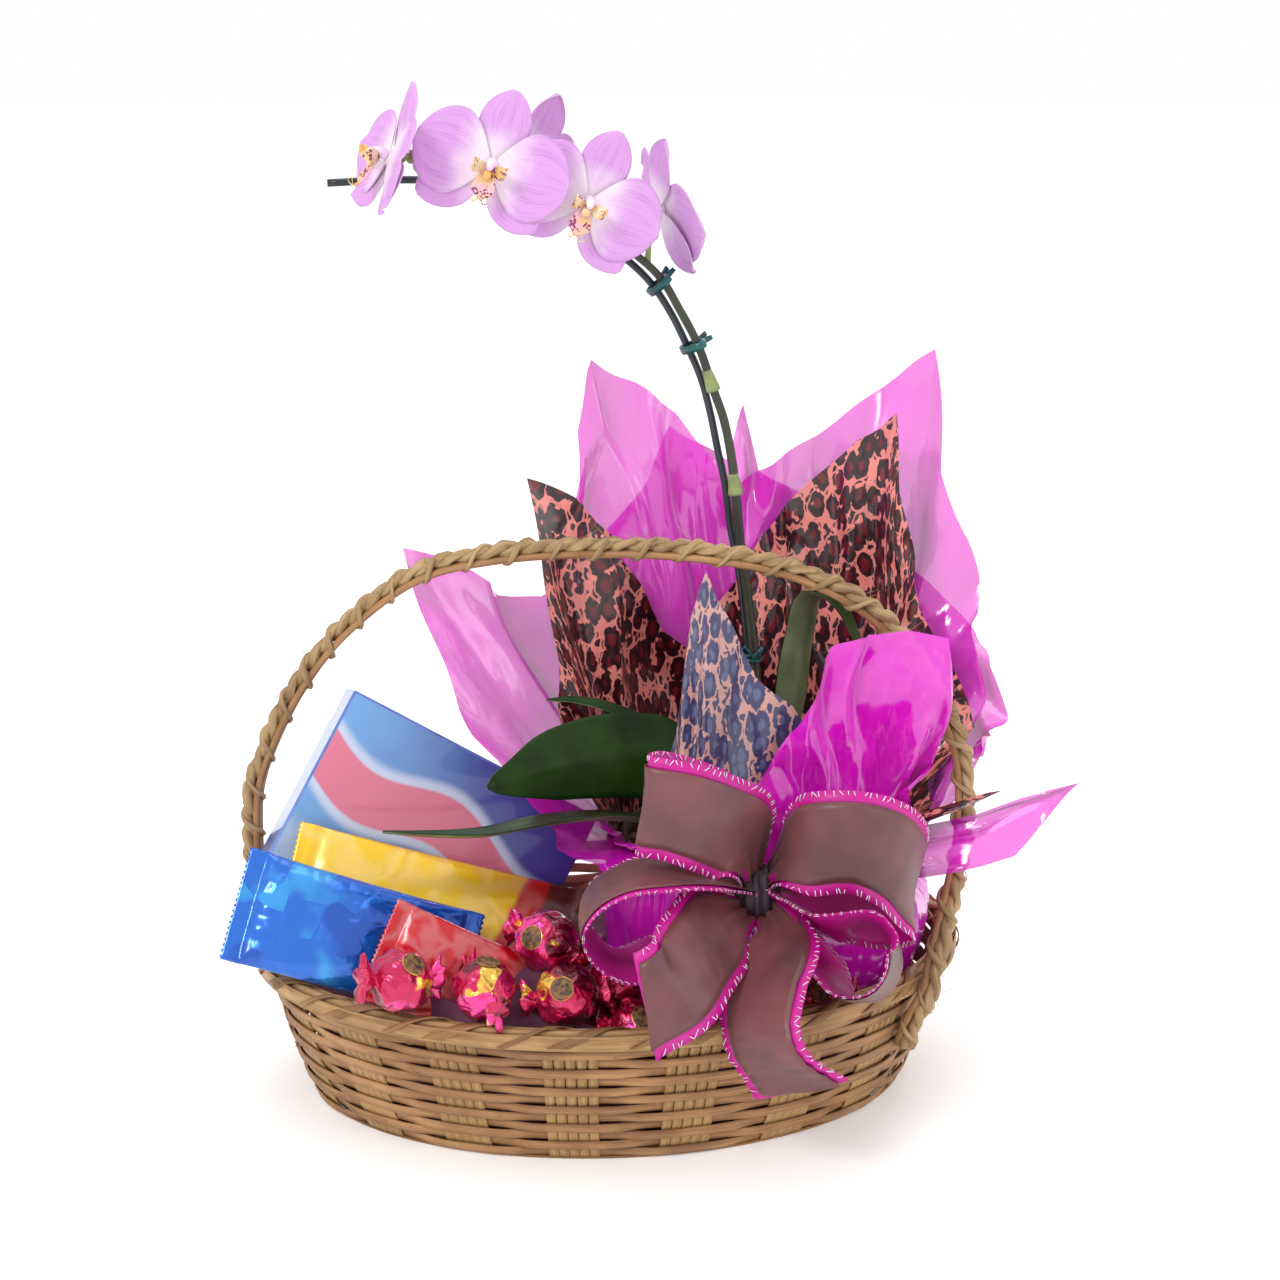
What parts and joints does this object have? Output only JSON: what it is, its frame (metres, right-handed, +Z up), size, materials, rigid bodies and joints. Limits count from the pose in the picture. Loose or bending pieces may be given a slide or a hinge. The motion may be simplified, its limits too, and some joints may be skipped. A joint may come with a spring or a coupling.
{
  "type": "moth orchid in basket",
  "caption": "Potted moth orchid on an arching spike, wrapped in printed film and magenta cellophane with a ribbon bow, in an oval woven basket with a hoop handle and wrapped sweets.",
  "frame": {"origin": "centre of the basket's flat underside", "axes": "+Z up, +X along the basket's long side towards the plant, -Y towards the front with the bow"},
  "size_m": [0.4263, 0.3078, 0.5131],
  "materials": {
    "bamboo": "split bamboo, varnished, mid brown",
    "straw": "twisted dry straw rope",
    "pot_plastic": "dark plastic, satin",
    "bark": "bark chips, matt",
    "leaf": "thick waxy leaf",
    "spike": "smooth green stem, olive brown",
    "petal": "soft satin petal, lilac pink with a white centre",
    "lip": "waxy lip, yellow with purple spots",
    "wire_coating": "dark blue grey plastic coating on steel wire",
    "clip_plastic": "teal plastic",
    "leopard_print": "thin film, animal print on coral, glossy",
    "magenta_film": "clear magenta cellophane, very glossy",
    "satin": "brown mauve satin ribbon",
    "sheer": "sheer magenta ribbon with stitched edges",
    "paper": "crumpled brown paper",
    "carton": "printed carton in clear film",
    "yellow_wrap": "printed flow wrap, yellow and red",
    "blue_wrap": "metallised flow wrap, blue and white",
    "red_wrap": "printed flow wrap, red and cream",
    "foil": "pink red metallised twist wrap"
  },
  "bodies": {
    "root": {"basket_wall": "bamboo", "basket_floor": "bamboo", "rim_braid": "bamboo", "handle_hoop": "bamboo", "handle_rope": "straw", "nursery_pot": "pot_plastic", "potting_bark": "bark", "orchid_crown": "leaf", "leaf_1": "leaf", "leaf_2": "leaf", "leaf_3": "leaf", "leaf_4": "leaf", "flower_spike": "spike", "support_wire": "wire_coating", "clip_lower": "clip_plastic", "clip_upper": "clip_plastic", "wire_tie": "clip_plastic", "leopard_film": "leopard_print", "cellophane_inner": "magenta_film", "cellophane_outer": "magenta_film", "tie_band": "sheer", "bow_knot": "satin", "packing_bed": "paper", "assortment_box": "carton", "yellow_bar": "yellow_wrap", "blue_pack": "blue_wrap", "red_pack": "red_wrap", "bloom_1": "petal", "lip_1": "lip", "bloom_2": "petal", "lip_2": "lip", "bloom_3": "petal", "lip_3": "lip", "bloom_4": "petal", "lip_4": "lip", "bloom_5": "petal", "lip_5": "lip", "bonbon_1": "foil", "bonbon_2": "foil", "bonbon_3": "foil", "bonbon_4": "foil", "bonbon_5": "foil", "bonbon_6": "foil", "bonbon_7": "foil", "bonbon_8": "foil", "loop_upper_left_satin": "satin", "loop_upper_left_sheer": "sheer", "loop_lower_left_satin": "satin", "loop_lower_left_sheer": "sheer", "loop_upper_right_satin": "satin", "loop_upper_right_sheer": "sheer", "loop_lower_right_satin": "satin", "loop_lower_right_sheer": "sheer", "tail_left_satin": "satin", "tail_left_sheer": "sheer", "tail_centre_satin": "satin", "tail_centre_sheer": "sheer"}
  },
  "joints": []
}
